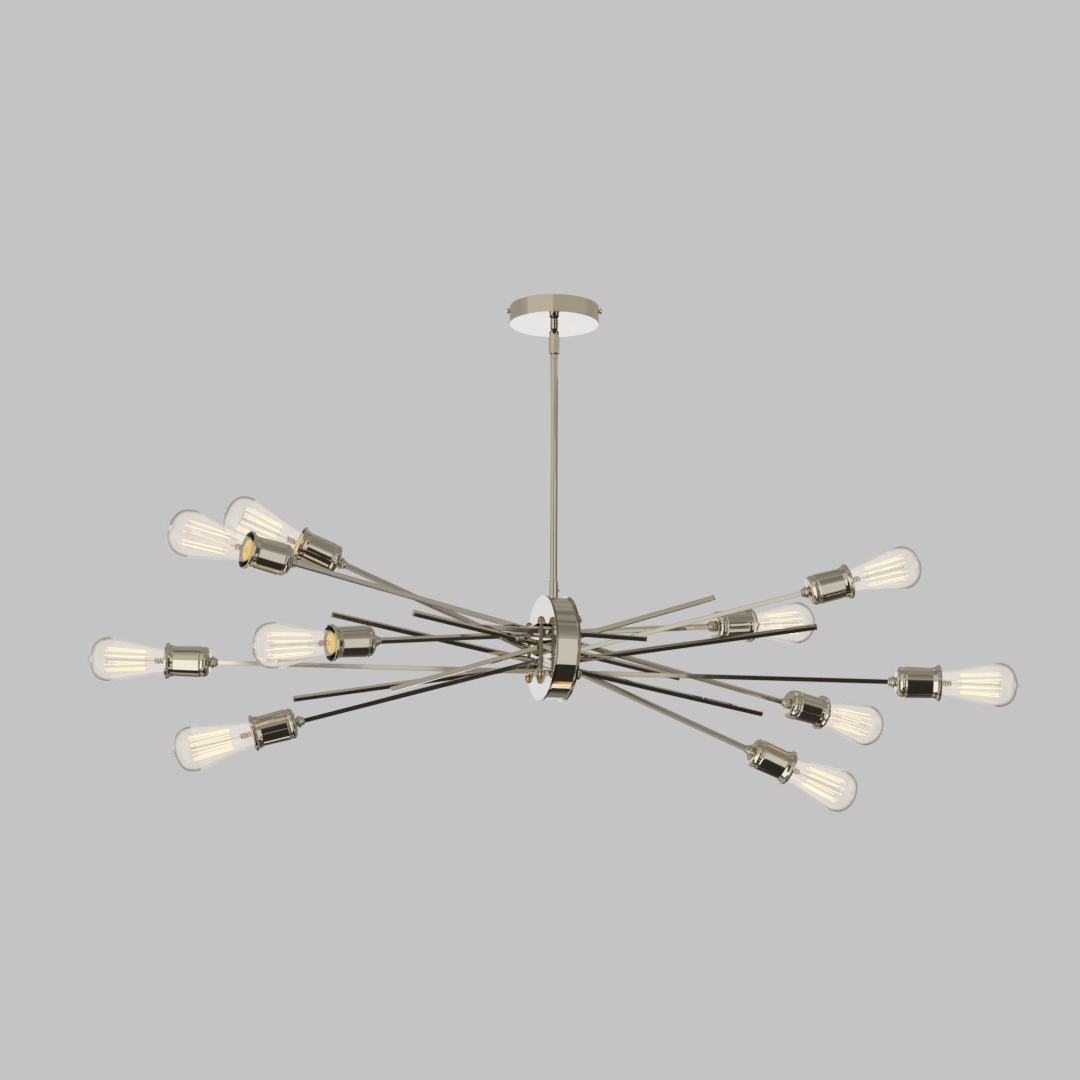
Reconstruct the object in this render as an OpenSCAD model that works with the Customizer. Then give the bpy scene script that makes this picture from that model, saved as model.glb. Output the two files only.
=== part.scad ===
// Ten light chandelier: a short drum hub hangs from a ceiling canopy on a stem,
// and ten straight square bars cross inside the hub. Five long bars carry a lamp
// holder and a bulb at each end, five shorter bars are bare.
// Millimetres, Z up, origin on the ceiling in the middle of the canopy.

/* [Bars] */
// Outside width of the square tube that every bar is cut from
bar_w = 6.4; // [5:0.1:8]
// Wall of the square tube
bar_wall = 0.9; // [0.6:0.1:1.2]
// Long bar 1: sideways and height at the hub, then turn and rise in degrees
arm_1 = [5.1, 17.7, 12.8, -9.5]; // [-45:0.1:45]
// Long bar 2: sideways, height, turn, rise
arm_2 = [11, -13.5, 0.3, -21.4]; // [-45:0.1:45]
// Long bar 3: sideways, height, turn, rise
arm_3 = [13, -31, -17.1, -1.4]; // [-45:0.1:45]
// Long bar 4: sideways, height, turn, rise
arm_4 = [13.6, 23, 9.9, 6.5]; // [-45:0.1:45]
// Long bar 5: sideways, height, turn, rise
arm_5 = [-11.5, -12.5, -9.6, 15.6]; // [-45:0.1:45]
// Roll of each long bar about its own length, degrees
arm_roll = [29.7, -22.2, 8.2, 39.7, 9.8]; // [-45:0.1:48]
// Half length of each long bar between its two lamp holders
arm_half = [392, 311, 463, 256, 357]; // [220:1:600]
// How far each long bar is slid to the right through the hub
arm_slide = [1.8, -1.8, 3.3, -0.2, 3.1]; // [-12:0.1:12]
// Short bar 1: sideways and height at the hub, then turn and rise in degrees
accent_1 = [-2.5, -23.9, -10.6, -11.9]; // [-45:0.1:45]
// Short bar 2: sideways, height, turn, rise
accent_2 = [6, 3.5, 17.3, -6.5]; // [-45:0.1:45]
// Short bar 3: sideways, height, turn, rise
accent_3 = [-25.2, 18.6, -7.1, -2.4]; // [-45:0.1:45]
// Short bar 4: sideways, height, turn, rise
accent_4 = [26, -18.1, -21.1, 7.6]; // [-45:0.1:45]
// Short bar 5: sideways, height, turn, rise
accent_5 = [-12, 6.1, -10.6, 17.1]; // [-45:0.1:45]
// Roll of each short bar about its own length, degrees
accent_roll = [27.9, 47.7, 19.9, 38, -5.1]; // [-45:0.1:48]
// Half length of each short bar, end caps included
accent_half = [305, 224, 128, 367, 234]; // [100:1:450]
// How far each short bar is slid to the right through the hub
accent_slide = [-6.8, -1, -4.3, 9.2, -1.1]; // [-12:0.1:12]

/* [Hub drum] */
// Depth of the hub's centre below the ceiling
hub_drop = 490; // [350:1:1200]
// Radius of the two face plates
face_r = 73; // [70:0.5:90]
// Thickness of a face plate
face_t = 3; // [2:0.5:4]
// How far the face plates stand proud of the band between them
lip = 2.5; // [1:0.5:6]
// Overall width of the drum along the bars
drum_w = 35; // [30:1:60]
// Wall of the band
band_t = 2; // [1.5:0.5:3]

/* [Canopy and stem] */
// Radius of the canopy
canopy_r = 63.5; // [60:0.5:80]
// Height of the canopy
canopy_h = 25; // [22:1:40]
// Wall of the canopy
canopy_t = 1.2; // [0.8:0.1:2]
// Direction of the ceiling bar and of the pin in the swivel, degrees
canopy_turn = -17; // [-45:1:45]
// Spacing of the two screw holes in the ceiling bar
box_pitch = 88.9; // [70:0.1:100]
// Radius of the stem tube
stem_r = 5.75; // [5.6:0.05:7]
// Radius of the swivel sleeve
sleeve_r = 7.75; // [7.5:0.05:9]

/* [Lamp holder] */
// Length of the ferrule between the bar and the holder's shell
ferrule_len = 11; // [9:0.5:14]
// Length of a holder from the bar to its rim
holder_len = 71.5; // [68:0.5:80]
// Radius of the holder's body
holder_r = 21.5; // [20:0.5:24]
// Radius of the holder's rim
rim_r = 25.3; // [24:0.5:27]
// Wall of the holder's spun shell
shell_t = 1; // [0.6:0.1:1.2]

/* [Bulb] */
// Largest radius of the glass
bulb_r = 30.7; // [28:0.1:32]
// Length of the glass that stands out of the rim
bulb_len = 109.5; // [100:0.5:125]
// Radius of the bulb's screw base
base_r = 13.1; // [12.5:0.05:13.2]
// Thickness of the glass
glass_t = 0.9; // [0.6:0.1:1.2]
// Strands in the filament cage
strands = 8; // [4:1:12]

/* [Hidden] */
$fn = 48;

// Gap of a sliding or turning fit, on the radius
fit = 0.08;
// Cut that runs past a surface
past = 1;

// A bar as [sideways, height, turn, rise, roll, half length, slide]
arms = [for (i = [0:4]) concat(
    [arm_1, arm_2, arm_3, arm_4, arm_5][i], [arm_roll[i], arm_half[i], arm_slide[i]])];
accents = [for (i = [0:4]) concat(
    [accent_1, accent_2, accent_3, accent_4, accent_5][i],
    [accent_roll[i], accent_half[i], accent_slide[i]])];
bar_bore = bar_w - 2 * bar_wall;
// How far a long bar reaches into its ferrules
tenon = 9;
cap_t = 1.6;
plug_len = 8;
plug_screw_r = 1;
plug_screw_in = 5;

drum_half = drum_w / 2;
band_r = face_r - lip;
band_half = drum_half - face_t;

// Clamps: a strap above and below the bars on each side of the drum
strap_w = 13;
strap_t = 1.6;
bolt_r = 2.5;
// How far out each clamp stands: left, right
bolt_x = [drum_half + 8.5, drum_half + 6.7];
// For the left and right clamp: front and rear bolt, under and over the bars
clamps = [[-30, 28.1, -34.9, 28.2], [-35.4, 26.5, -36.1, 31.6]];
nut_r = 5.8;
nut_h = 9.5;

nipple_r = 5;
nipple_bore = 3.3;
nipple_low = 55;
hub_nut_top = 67.8;

// Swivel: the neck turns in the canopy, the sleeve tilts on the neck's two flats
neck_r = 5.25;
neck_flats = 8;
neck_bore = 2.2;
neck_top = 13;
pivot_z = -38.5;
neck_end_r = 4.5;
neck_shoulder = 6;
slot_w = neck_flats + 0.3;
slot_deep = 5.6;
dome_h = 5;
sleeve_end = -70;
washer_r = 12;
washer_t = 1.6;
nut_t = 6;
coupler_h = 8;
stem_bore = 5.05;
collar_r = 7;
collar_h = 23.5;
side_screw_z = -5.5;
ear_face = 61;
bar_t = 2;
bar_strip = 20;

lead_r = 1.8;
wire_r = 1.1;
splice_z = 49;
splice_r = 8;
splice_h = 14;
// Where each long bar's lead runs inside the drum, up to the splice
lead_routes = [
    [[0.6, 3, 31], [-4.5, 0.4, 44], [-4.5, 0.4, splice_z]],
    [[0, 17, -6], [0, 22, 10], [-4, 22, 26], [-2.5, 5, 44], [-2.5, 5, splice_z]],
    [[0, 24, -32], [0, 36, -22], [0, 36, 12], [0, 20, 40], [2.5, 5, 44], [2.5, 5, splice_z]],
    [[0, 13, 33], [4.5, 0, 44], [4.5, 0, splice_z]],
    [[0, -20, -6], [0, -20, 8], [0, -15, 22], [0, -5, 44], [0, -5, splice_z]]
];

// ---------------------------------------------------------------- placing

// Places children at the hub's centre
module at_hub() translate([0, 0, -hub_drop]) children();

// Lays children along a bar, with X along the bar and its middle at the origin
module on_bar(b) {
    at_hub() translate([0, b[0], b[1]]) rotate([0, 0, b[2]]) rotate([0, -b[3], 0])
        translate([b[6], 0, 0]) rotate([b[4], 0, 0]) children();
}

// Stands children on one end of a bar, with Z pointing out of the bar's end
module on_end(b, side, out = 0) {
    on_bar(b) translate([side * (b[5] + out), 0, 0]) rotate([0, side * 90, 0]) children();
}

// Both ends of every long bar
module each_holder() {
    for (b = arms, side = [-1, 1]) on_end(b, side) children();
}

// Holder or bulb number n sits on bar floor((n - 1) / 2), odd numbers on the left
module holder_place(n) {
    on_end(arms[floor((n - 1) / 2)], n % 2 == 1 ? -1 : 1) children();
}

// Straight round length between two points
module run(p, q, r) {
    v = q - p;
    translate(p) rotate([0, acos(v[2] / norm(v)), atan2(v[1], v[0])])
        cylinder(r = r, h = norm(v), $fn = 16);
}

// Round lead that follows a list of points, rounded at each bend
module lead_along(points, r) {
    for (i = [0:len(points) - 2]) run(points[i], points[i + 1], r);
    for (i = [1:len(points) - 2]) translate(points[i]) sphere(r = r + 0.1, $fn = 16);
}

module tube(r, bore, h) {
    difference() {
        cylinder(r = r, h = h);
        translate([0, 0, -past]) cylinder(r = bore, h = h + 2 * past);
    }
}

module hex_nut(across, bore, h) {
    difference() {
        cylinder(r = across / 2 / cos(30), h = h, $fn = 6);
        translate([0, 0, -past]) cylinder(r = bore, h = h + 2 * past);
    }
}

// ---------------------------------------------------------------- ceiling end

// Steel strip against the ceiling, its two ears take the canopy's side screws
module ceiling_bar() color("lightgrey") rotate([0, 0, canopy_turn]) {
    difference() {
        translate([-ear_face, -bar_strip / 2, -bar_t]) cube([2 * ear_face, bar_strip, bar_t]);
        for (s = [-1, 1]) translate([s * box_pitch / 2, 0, -bar_t - past])
            cylinder(r = 2.3, h = bar_t + 2 * past);
        translate([0, 0, -bar_t - past]) cylinder(r = 5.2, h = bar_t + 2 * past);
        translate([26, 5, -bar_t - past]) cylinder(r = 2.05, h = bar_t + 2 * past);
    }
    for (s = [-1, 1]) difference() {
        translate([s > 0 ? ear_face - bar_t : -ear_face, -bar_strip / 2, -12])
            cube([bar_t, bar_strip, 12 - bar_t]);
        translate([s * ear_face, 0, side_screw_z]) rotate([0, 90, 0])
            cylinder(r = 2.05, h = 3 * bar_t, center = true);
    }
}

module ground_screw() color("green") rotate([0, 0, canopy_turn])
    translate([26, 5, 0]) {
        translate([0, 0, -bar_t - 6]) cylinder(r = 2, h = bar_t + 5.5);
        translate([0, 0, -bar_t - 2.5]) cylinder(r = 4, h = 2.5, $fn = 6);
    }

// Shallow spun cup, open to the ceiling
module canopy() color("silver") difference() {
    rotate_extrude($fn = 96) polygon([
        [neck_r + fit, -canopy_h], [canopy_r - 1.6, -canopy_h],
        [canopy_r - 0.5, -canopy_h + 0.5], [canopy_r, -canopy_h + 1.6], [canopy_r, 0],
        [canopy_r - canopy_t, 0], [canopy_r - canopy_t, -canopy_h + canopy_t],
        [neck_r + fit, -canopy_h + canopy_t]]);
    rotate([0, 0, canopy_turn]) translate([0, 0, side_screw_z]) rotate([0, 90, 0])
        cylinder(r = 2.2, h = 3 * canopy_r, center = true);
}

module canopy_screws() color("silver") rotate([0, 0, canopy_turn])
    for (s = [-1, 1]) translate([s * canopy_r, 0, side_screw_z]) rotate([0, s * 90, 0]) {
        translate([0, 0, -9]) cylinder(r = 2, h = 9);
        rotate_extrude() polygon([[0, 0], [2.6, 0], [2.6, 0.8], [4, 1], [4.2, 2.4],
            [3.6, 3.6], [2.2, 4.4], [0, 4.6]]);
    }

module canopy_washer() color("lightgrey")
    translate([0, 0, -canopy_h + canopy_t]) tube(washer_r, neck_r + fit, washer_t);

// Turning neck: round through the canopy, flattened where the sleeve grips it
module swivel_neck() color("silver") difference() {
    union() {
        translate([0, 0, pivot_z + neck_shoulder])
            cylinder(r = neck_r, h = -neck_top - pivot_z - neck_shoulder);
        rotate([0, 0, canopy_turn]) translate([0, 0, pivot_z]) {
            translate([-neck_end_r, -neck_flats / 2, 0])
                cube([2 * neck_end_r, neck_flats, neck_shoulder]);
            rotate([90, 0, 0]) cylinder(r = neck_end_r, h = neck_flats, center = true);
        }
    }
    translate([0, 0, pivot_z - 10]) cylinder(r = neck_bore, h = 50);
    rotate([0, 0, canopy_turn]) translate([0, 0, pivot_z]) rotate([90, 0, 0])
        cylinder(r = 1.5 + fit, h = 3 * neck_flats, center = true);
}

module neck_nut() color("lightgrey")
    translate([0, 0, -canopy_h + canopy_t + washer_t]) hex_nut(16, neck_r, nut_t);

// Two shoulder screws, one in each cheek, that leave the middle clear for the lead
module pivot_screws() color("silver") rotate([0, 0, canopy_turn])
    for (s = [-1, 1]) translate([0, 0, pivot_z]) rotate([s * 90, 0, 0]) {
        translate([0, 0, neck_bore + 0.3]) cylinder(r = 1.5, h = sleeve_r - neck_bore - 1);
        translate([0, 0, sleeve_r - 0.7]) cylinder(r = 2.6, h = 1.3);
    }

module swivel_sleeve() color("silver") difference() {
    union() {
        translate([0, 0, pivot_z]) intersection() {
            scale([1, 1, dome_h / sleeve_r]) sphere(r = sleeve_r, $fn = 64);
            cylinder(r = sleeve_r + past, h = dome_h + past);
        }
        translate([0, 0, sleeve_end]) rotate_extrude() polygon([[0, 0],
            [sleeve_r - 1.4, 0], [sleeve_r, 1.4], [sleeve_r, pivot_z - sleeve_end],
            [0, pivot_z - sleeve_end]]);
    }
    rotate([0, 0, canopy_turn]) {
        translate([-sleeve_r - past, -slot_w / 2, pivot_z - slot_deep])
            cube([2 * (sleeve_r + past), slot_w, slot_deep + dome_h + past]);
        for (s = [-1, 1]) translate([0, 0, pivot_z]) rotate([s * 90, 0, 0]) {
            cylinder(r = 1.5, h = 2 * sleeve_r);
            translate([0, 0, sleeve_r - 0.7]) cylinder(r = 2.6, h = sleeve_r);
        }
    }
    translate([0, 0, sleeve_end - past]) cylinder(r = 3.4, h = 40);
    translate([0, 0, sleeve_end - past]) cylinder(r = nipple_r, h = 11 + past);
}

// Threaded joint between sleeve and stem, with a grooved collar left showing
module stem_coupler() color("silver") translate([0, 0, sleeve_end - coupler_h])
    rotate_extrude() polygon([[nipple_bore, -11], [nipple_r, -11], [nipple_r, 0],
        [stem_r, 0], [stem_r, 0.6], [stem_r - 0.5, 0.9], [stem_r - 0.5, 1.5],
        [stem_r, 1.8], [stem_r, coupler_h - 0.6], [stem_r - 0.6, coupler_h],
        [nipple_r, coupler_h], [nipple_r, coupler_h + 10.9],
        [nipple_bore, coupler_h + 10.9]]);

stem_top = sleeve_end - coupler_h;
collar_low = -hub_drop + band_r;
module stem() color("silver") translate([0, 0, collar_low + 1.5])
    tube(stem_r, stem_bore, stem_top - collar_low - 1.5);

module stem_collar() color("silver") difference() {
    translate([0, 0, collar_low - past]) rotate_extrude() polygon([
        [nipple_r + 0.1, 0], [collar_r, 0], [collar_r, collar_h], [collar_r - 0.6, collar_h + past],
        [stem_r + fit, collar_h + past], [stem_r + fit, past + 1.5], [nipple_r + 0.1, past + 1.5]]);
    at_hub() rotate([0, 90, 0]) cylinder(r = band_r, h = 4 * collar_r, center = true, $fn = 96);
    collar_screw_hole(1.5);
}
module collar_screw_hole(r) rotate([0, 0, canopy_turn])
    translate([stem_r, 0, collar_low + 10.5]) rotate([0, 90, 0]) cylinder(r = r, h = 6);

module collar_screw() color("silver") rotate([0, 0, canopy_turn])
    translate([stem_r, 0, collar_low + 10.5]) rotate([0, 90, 0]) {
        cylinder(r = 1.5, h = 2);
        translate([0, 0, collar_r - stem_r]) cylinder(r = 2, h = 1.4);
    }

// ---------------------------------------------------------------- hub

module hub_nipple() color("lightgrey") at_hub() {
    translate([0, 0, nipple_low]) tube(nipple_r, nipple_bore, band_r + 17 - nipple_low);
    translate([0, 0, hub_nut_top - 5]) hex_nut(16, nipple_r, 5);
}

module hub_band() color("silver") at_hub() difference() {
    rotate([0, 90, 0]) cylinder(r = band_r, h = 2 * band_half, center = true, $fn = 96);
    rotate([0, 90, 0])
        cylinder(r = band_r - band_t, h = 2 * drum_w, center = true, $fn = 96);
    cylinder(r = nipple_r + fit, h = 2 * face_r);
}

// Outline of every bar, with a gap round it, for the holes in the face plates
module bar_cuts() {
    for (b = concat(arms, accents)) on_bar(b)
        cube([2 * b[5], bar_w + 0.3, bar_w + 0.3], center = true);
}

// Polished plate with a square hole for each bar
module face_plate(side) difference() {
    at_hub() rotate([0, side * 90, 0]) translate([0, 0, band_half]) rotate_extrude($fn = 96)
        polygon([[0, 0], [face_r, 0], [face_r, face_t - 0.4], [face_r - 0.4, face_t],
            [0, face_t]]);
    bar_cuts();
}
module hub_face_left() color("silver") face_plate(-1);
module hub_face_right() color("silver") face_plate(1);

// Places children at each clamp bolt, and gives its lower and upper strap faces
module each_bolt() at_hub() for (k = [0, 1], j = [0, 1]) {
    c = clamps[k];
    $low = c[2];
    $high = c[3];
    translate([(2 * k - 1) * bolt_x[k], c[j], 0]) children();
}

module clamp_straps() color("silver") difference() {
    at_hub() for (k = [0, 1]) {
        c = clamps[k];
        s = 2 * k - 1;
        for (z = [c[2] - strap_t, c[3]]) translate([s * bolt_x[k], 0, z])
            strap(c[0], c[1], drum_half - bolt_x[k], s);
    }
    each_bolt() translate([0, 0, -60]) cylinder(r = bolt_r, h = 120);
}

// Flat strap with round ends, its inner edge against the face plate
module strap(front, rear, inner, s) linear_extrude(strap_t) {
    for (y = [front, rear]) translate([0, y]) circle(r = strap_w / 2);
    translate([s > 0 ? inner : -strap_w / 2, front])
        square([strap_w / 2 - inner, rear - front]);
}

module clamp_bolts() color("goldenrod") each_bolt()
    translate([0, 0, $low - strap_t - 5]) cylinder(r = bolt_r, h = $high - $low + 2 * strap_t + 10);

module acorn_nuts() color("goldenrod") each_bolt() {
    translate([0, 0, $high + strap_t]) acorn();
    translate([0, 0, $low - strap_t]) mirror([0, 0, 1]) acorn();
}

// Domed nut, blind, with a short round skirt
module acorn() rotate_extrude() difference() {
    union() {
        square([nut_r - 0.5, 1.4]);
        translate([0, 1.4]) square([nut_r, 1.2]);
        translate([0, 2.4]) intersection() {
            scale([1, (nut_h - 2.4) / (nut_r - 0.4)]) circle(r = nut_r - 0.4, $fn = 64);
            square(nut_r + nut_h);
        }
    }
    square([bolt_r, 5]);
}

// ---------------------------------------------------------------- leads

module wire_nuts() color("orange") rotate([0, 0, canopy_turn])
    for (s = [-1, 1]) translate([20, s * 14, -12]) rotate([0, 90, 0]) rotate([0, 0, 0])
        cylinder(r1 = 5, r2 = 3.6, h = 18);

module lead_splice() color("ivory") at_hub() difference() {
    translate([0, 0, splice_z]) cylinder(r = splice_r, h = splice_h - 8.2);
    translate([0, 0, splice_z + 3]) cylinder(r = lead_r, h = splice_h);
}

// Main lead: from the splice in the drum, up the stem and the swivel, to the canopy
module lamp_lead() color("black") {
    translate([0, 0, -hub_drop + splice_z + 3])
        cylinder(r = lead_r, h = hub_drop - splice_z - 3 - 8, $fn = 24);
    rotate([0, 0, canopy_turn]) for (s = [-1, 1])
        lead_along([[0, s * 0.7, -9.2], [8, s * 9, -8], [14, s * 14, -12], [20, s * 14, -12]], wire_r);
}

function route(i) = concat([[0, arms[i][0], arms[i][1]]], lead_routes[i]);

// One lead in each long bar, and its tail from the bar's middle to the splice
module arm_leads() color("black") for (i = [0:4]) {
    on_bar(arms[i]) rotate([0, 90, 0])
        cylinder(r = wire_r, h = 2 * (arms[i][5] + seat_z - 0.1), center = true, $fn = 16);
    at_hub() lead_along(route(i), wire_r - 0.1);
}

// ---------------------------------------------------------------- bars

module square_tube(h) difference() {
    cube([h, bar_w, bar_w], center = true);
    cube([h + 2 * past, bar_bore, bar_bore], center = true);
}

// Long bar, with a hole in its wall inside the drum where its lead comes out
module arm(i) color("silver") difference() {
    on_bar(arms[i]) square_tube(2 * (arms[i][5] + tenon));
    at_hub() {
        run(route(i)[0], route(i)[1], wire_r + 0.5);
    }
}

// Short bar, open at both ends for its plugs, with a small screw hole near each end
module accent(i) color("silver") on_bar(accents[i]) difference() {
    square_tube(2 * (accents[i][5] - cap_t));
    for (s = [-1, 1]) translate([s * (accents[i][5] - plug_screw_in), 0, bar_bore / 2 - past])
        cylinder(r = plug_screw_r, h = 2 * past + bar_wall);
}

module end_plugs() color("silver") for (b = accents, s = [-1, 1]) on_end(b, s) {
    translate([-bar_w / 2, -bar_w / 2, -cap_t]) cube([bar_w, bar_w, cap_t]);
    translate([-bar_bore / 2, -bar_bore / 2, -plug_len])
        cube([bar_bore, bar_bore, plug_len - cap_t]);
}

module plug_screws() color("dimgrey") for (b = accents, s = [-1, 1])
    on_bar(b) translate([s * (b[5] - plug_screw_in), 0, bar_bore / 2])
        cylinder(r = plug_screw_r, h = bar_wall - 0.3);

// ---------------------------------------------------------------- lamp holders

// Stepped ferrule that joins a bar's end to a holder
module arm_ferrules() color("silver") each_holder() difference() {
    rotate_extrude() polygon([[0, 0], [5, 0], [5.3, 0.8], [5.3, 2], [6.2, 2.6], [6.5, 3.8],
        [6.2, 5], [7.8, 5.4], [8.3, 6.8], [8.3, 7.8], [7.6, 9], [6.2, 9.4],
        [6.2, ferrule_len], [5, ferrule_len], [5, ferrule_len + 5], [0, ferrule_len + 5]]);
    translate([-bar_w / 2, -bar_w / 2, -past]) cube([bar_w, bar_w, tenon + past]);
    cylinder(r = 2.4, h = 40);
}

// Profile of the holder's shell: [radius, distance from the bar]
function shell_outline(off) = [
    [10 - off, ferrule_len], [14.5 - off, ferrule_len + 0.5], [18.3 - off, ferrule_len + 1.9],
    [20.2 - off, ferrule_len + 4], [21.2 - off, ferrule_len + 6], [holder_r - off, 19],
    [20.7 - off, 20.8], [20.7 - off, 22.6], [holder_r + 0.3 - off, 24],
    [holder_r + 0.2 - off, 26], [holder_r - 0.5 - off, 60], [holder_r + 0.6 - off, 63],
    [holder_r + 1.3 - off, 66], [rim_r - 1 - off, 67.4], [rim_r - off, 68.2]];

module socket(n) color("silver") holder_place(n) rotate_extrude() polygon(concat(
    [[5, ferrule_len]], shell_outline(0),
    [[rim_r, holder_len - 0.6], [rim_r - 0.6, holder_len], [rim_r - 2.4, holder_len],
        [holder_r - 0.4, holder_len - 4], [holder_r - 0.5 - shell_t, 60],
        [holder_r - 0.5 - shell_t, 26], [19.6, 20], [18, ferrule_len + 4],
        [13, ferrule_len + shell_t + 0.4], [5, ferrule_len + shell_t + 0.2]]));

// Porcelain body inside the shell, hollow where the screw shell sits
insul_r = holder_r - 0.5 - shell_t;
insul_low = 26;
insul_top = 62;
seat_z = 41;
thread_r = base_r + fit;
thread_t = 0.6;
module holder_insulators() color("white") each_holder() difference() {
    translate([0, 0, insul_low]) cylinder(r = insul_r, h = insul_top - insul_low - 2);
    translate([0, 0, seat_z]) cylinder(r = thread_r + thread_t, h = 40);
    translate([0, 0, insul_low - past]) cylinder(r = 2, h = 40);
}

module screw_shells() color("goldenrod") each_holder() translate([0, 0, seat_z])
    tube(thread_r + thread_t, thread_r, 22);

module centre_contacts() color("goldenrod") each_holder() translate([0, 0, seat_z])
    cylinder(r = 4.5, h = 2.6);

// ---------------------------------------------------------------- bulb

// Glass from the holder's rim to the tip: [radius, distance from the bar]
function glass_outline() = [
    [12.6, 66], [13.6, 68.5], [15.9, 70.4], [16.9, 72.5], [17.2, 77.8], [18.6, 87.4],
    [21, 100], [24.2, 115.4], [27.3, 129.9], [29.5, 140.5], [30.4, 146.8], [bulb_r, 152.1],
    [30.3, 156.9], [28.9, 162.2], [26, 167.5], [21.8, 171.8], [16, 175], [10.5, 176.5],
    [6, 177.1], [4.6, 178.1], [3.6, 179.7], [2, 180.7], [0, holder_len + bulb_len]];

module bulb(n) holder_place(n) {
    glass_envelope();
    bulb_base();
    filament();
}

glass_in = (bulb_r - glass_t) / bulb_r;
dome_z = 156;
module glass_envelope() color("lightcyan") rotate_extrude($fn = 64) polygon(concat(
    glass_outline(),
    [for (i = [len(glass_outline()) - 1:-1:0]) let (p = glass_outline()[i])
        [p[0] * glass_in, p[1] > dome_z ? p[1] - glass_t : p[1]]]));

base_low = seat_z + 3;
module bulb_base() color("goldenrod") rotate_extrude() polygon([
    [0, base_low], [4, base_low], [5, base_low + 1.2], [9, base_low + 2.4],
    [base_r, base_low + 5], [base_r, 65.9], [0, 65.9]]);

// Glass stem, support rods and the cage of strands round it
cage_low = 100;
cage_top = 155;
module filament() color("orange") {
    translate([0, 0, 65.9]) cylinder(r1 = 6, r2 = 2.6, h = 10, $fn = 24);
    translate([0, 0, 75.9]) cylinder(r = 2.6, h = 12, $fn = 24);
    translate([0, 0, 87.9]) cylinder(r = 0.7, h = cage_top - 87.9, $fn = 16);
    for (z = [cage_low, cage_top]) for (a = [0:strands / 2 - 1])
        translate([0, 0, z]) rotate([0, 90, a * 360 / strands])
            cylinder(r = 0.35, h = 2 * cage_r(z), center = true, $fn = 16);
    for (a = [0:strands - 1]) run(cage_point(a, cage_low), cage_point(a, cage_top), 0.5);
}
function cage_r(z) = z > cage_low ? 16.5 : 13.5;
function cage_point(a, z) = [cage_r(z) * cos(a * 360 / strands),
    cage_r(z) * sin(a * 360 / strands), z];

// ---------------------------------------------------------------- nodes

ceiling_bar();
ground_screw();
canopy();
canopy_screws();
canopy_washer();
swivel_neck();
neck_nut();
pivot_screws();
swivel_sleeve();
stem_coupler();
stem();
stem_collar();
collar_screw();
hub_nipple();
hub_band();
hub_face_left();
hub_face_right();
clamp_straps();
clamp_bolts();
acorn_nuts();
wire_nuts();
lead_splice();
lamp_lead();
arm_leads();
arm(0);  // arm_1
arm(1);  // arm_2
arm(2);  // arm_3
arm(3);  // arm_4
arm(4);  // arm_5
accent(0);  // accent_1
accent(1);  // accent_2
accent(2);  // accent_3
accent(3);  // accent_4
accent(4);  // accent_5
end_plugs();
plug_screws();
arm_ferrules();
holder_insulators();
screw_shells();
centre_contacts();
socket(1);  // socket_1
socket(2);  // socket_2
socket(3);  // socket_3
socket(4);  // socket_4
socket(5);  // socket_5
socket(6);  // socket_6
socket(7);  // socket_7
socket(8);  // socket_8
socket(9);  // socket_9
socket(10);  // socket_10
bulb(1);  // bulb_1
bulb(2);  // bulb_2
bulb(3);  // bulb_3
bulb(4);  // bulb_4
bulb(5);  // bulb_5
bulb(6);  // bulb_6
bulb(7);  // bulb_7
bulb(8);  // bulb_8
bulb(9);  // bulb_9
bulb(10);  // bulb_10
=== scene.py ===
import math

import bmesh
import bpy
from mathutils import Matrix, Vector


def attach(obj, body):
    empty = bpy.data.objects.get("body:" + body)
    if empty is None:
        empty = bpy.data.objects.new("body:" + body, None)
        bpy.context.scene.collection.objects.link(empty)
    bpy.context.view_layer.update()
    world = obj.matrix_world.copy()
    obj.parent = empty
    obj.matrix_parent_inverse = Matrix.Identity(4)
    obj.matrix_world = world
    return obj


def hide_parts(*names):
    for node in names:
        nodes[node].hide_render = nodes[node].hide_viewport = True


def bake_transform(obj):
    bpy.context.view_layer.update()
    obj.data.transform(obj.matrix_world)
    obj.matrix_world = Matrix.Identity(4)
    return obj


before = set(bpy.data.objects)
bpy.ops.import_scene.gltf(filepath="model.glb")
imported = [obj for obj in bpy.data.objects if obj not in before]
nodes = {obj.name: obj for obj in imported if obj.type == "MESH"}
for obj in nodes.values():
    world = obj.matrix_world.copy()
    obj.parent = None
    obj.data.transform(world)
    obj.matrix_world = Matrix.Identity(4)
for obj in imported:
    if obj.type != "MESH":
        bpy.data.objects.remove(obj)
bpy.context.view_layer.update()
scene = bpy.context.scene
MM = 0.001
FULL = math.tau

# ------------------------------------------------------------------ sizes, in mm
HUB_Z = -490.0
CANOPY_R, CANOPY_DEPTH, CANOPY_T, NECK_HOLE = 63.5, 25.0, 1.2, 5.33
STEM_R, STEM_BORE, STEM_TOP, STEM_END = 5.75, 5.05, -78.0, -418.0
BAR, BAR_ROUND = 6.4, 0.45
# How far a long bar runs on past the foot of its holders, and the cap's share of a short one
BAR_TAIL, PLUG_CAP = 9.0, 1.6
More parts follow.
